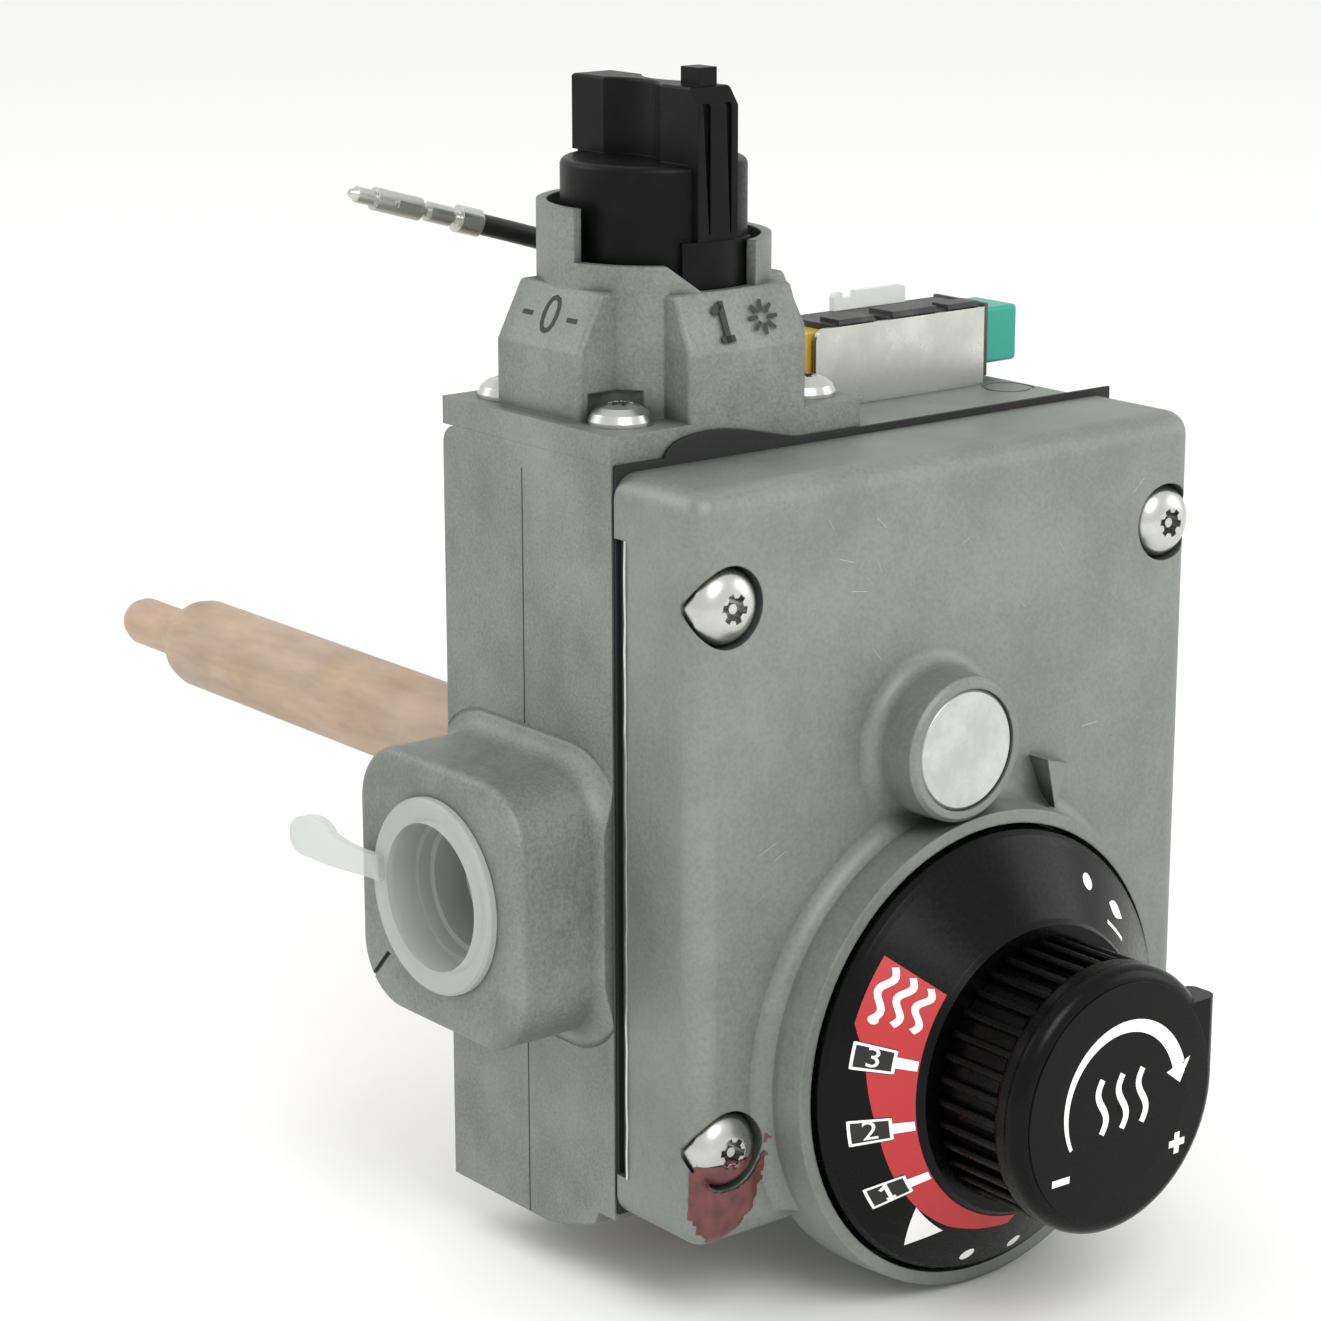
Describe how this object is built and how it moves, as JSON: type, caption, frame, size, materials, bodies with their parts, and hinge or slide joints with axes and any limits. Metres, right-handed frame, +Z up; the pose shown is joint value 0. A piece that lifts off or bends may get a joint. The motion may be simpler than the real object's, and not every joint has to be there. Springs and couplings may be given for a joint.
{
  "type": "gas control valve",
  "caption": "Combination gas control valve for a storage water heater: gas cock knob, temperature dial, push-button igniter, plugged inlet and sheathed tank probe.",
  "frame": {"origin": "centre of the tank shank on the casting's flat back face", "axes": "+X to the right seen from the front, +Y back along the probe into the tank, +Z up; the dial faces -Y"},
  "size_m": [0.1036, 0.2416, 0.152],
  "materials": {
    "casting": "as-cast, grainy",
    "cover_casting": "smooth die casting",
    "black_plastic": "semi-matte",
    "dial_plastic": "semi-gloss",
    "zinc_steel": "bright zinc",
    "spring_steel": "drawn wire",
    "brass": "machined",
    "rubber": "matte",
    "gasket": "matte",
    "copper": "bare copper",
    "invar": "drawn rod",
    "plug_plastic": "translucent polyethylene",
    "sleeve_plastic": "translucent polyethylene",
    "silver_disc": "bright",
    "teal_plastic": "semi-gloss",
    "amber_plastic": "translucent",
    "clear_plastic": "clear",
    "grey_plastic": "matte",
    "wire_jacket": "satin"
  },
  "bodies": {
    "casing": {"valve_body": "casting", "inlet_boss": "casting", "knob_collar": "casting", "collar_screws": "zinc_steel", "front_cover": "cover_casting", "cover_gasket": "gasket", "cover_screws": "zinc_steel", "magnet_housing": "brass", "magnet_core": "invar", "regulator_disc": "silver_disc", "regulator_adjuster": "casting", "regulator_spring": "spring_steel", "regulator_diaphragm": "rubber", "regulator_poppet": "brass", "diaphragm_ring": "zinc_steel", "stop_washer": "zinc_steel", "dial_stop": "zinc_steel", "lever_bracket": "zinc_steel", "valve_seat": "zinc_steel", "tank_shank": "brass", "probe_tube": "copper", "probe_rod": "invar", "inlet_screen": "brass", "igniter_bracket": "zinc_steel", "igniter_housing": "grey_plastic", "igniter_cap": "amber_plastic", "igniter_tab": "clear_plastic", "lead_wire": "wire_jacket", "lead_terminal": "zinc_steel", "safety_spring": "spring_steel", "main_valve_spring": "spring_steel", "igniter_spring": "spring_steel"},
    "cock": {"gas_cock": "brass", "cock_seal": "rubber", "knob_spring": "spring_steel"},
    "knob": {"control_knob": "black_plastic", "knob_stem": "black_plastic", "push_pin": "invar"},
    "safety": {"safety_valve": "brass", "safety_valve_rubber": "rubber"},
    "dial": {"temperature_dial": "dial_plastic", "temperature_knob": "dial_plastic", "knob_face": "dial_plastic", "dial_shaft": "brass"},
    "pin": {"adjusting_pin": "invar"},
    "lever": {"thermostat_lever": "zinc_steel"},
    "main_valve": {"main_valve": "brass", "main_valve_rubber": "rubber"},
    "button": {"igniter_button": "teal_plastic", "igniter_hammer": "invar"},
    "plug": {"inlet_plug": "plug_plastic"},
    "sleeve": {"probe_sleeve": "sleeve_plastic"}
  },
  "joints": [
    {"name": "knob_turn", "type": "hinge", "parent": "casing", "child": "cock", "pos_m": [-0.02115, -0.0171, 0.08], "axis": [0, 0, 1], "range_deg": [-90, 90]},
    {"name": "knob_press", "type": "slide", "parent": "cock", "child": "knob", "axis": [0, 0, -1], "range_m": [0, 0.004], "stiffness_N_per_m": 1500, "springref_m": -0.004, "deforming": ["knob_spring"]},
    {"name": "safety_lift", "type": "slide", "parent": "casing", "child": "safety", "axis": [0, 0, -1], "range_m": [0, 0.004], "deforming": ["safety_spring"]},
    {"name": "dial_turn", "type": "hinge", "parent": "casing", "child": "dial", "pos_m": [0.0003, -0.06, -0.0152], "axis": [0, -1, 0], "range_deg": [0, 274]},
    {"name": "pin_travel", "type": "slide", "parent": "casing", "child": "pin", "axis": [0, -1, 0], "range_m": [0, 0.001]},
    {"name": "lever_swing", "type": "hinge", "parent": "casing", "child": "lever", "pos_m": [0, -0.015, -0.0152], "axis": [1, 0, 0], "range_deg": [0, 2.5]},
    {"name": "valve_lift", "type": "slide", "parent": "casing", "child": "main_valve", "axis": [0, -1, 0], "range_m": [0, 0.002], "deforming": ["main_valve_spring"]},
    {"name": "igniter_press", "type": "slide", "parent": "casing", "child": "button", "axis": [-1, 0, 0], "range_m": [0, 0.005], "stiffness_N_per_m": 1200, "springref_m": -0.003, "deforming": ["igniter_spring"]},
    {"name": "plug_pull", "type": "slide", "parent": "casing", "child": "plug", "axis": [-1, 0, 0], "range_m": [0, 0.03]},
    {"name": "sleeve_pull", "type": "slide", "parent": "casing", "child": "sleeve", "axis": [0, 1, 0], "range_m": [0, 0.13]}
  ],
  "couplings": [
    {"joint": "safety_lift", "follows": "knob_press", "ratio": 1},
    {"joint": "pin_travel", "follows": "dial_turn", "m_per_rad": 0.0002},
    {"joint": "valve_lift", "follows": "lever_swing", "m_per_rad": 0.0412}
  ]
}
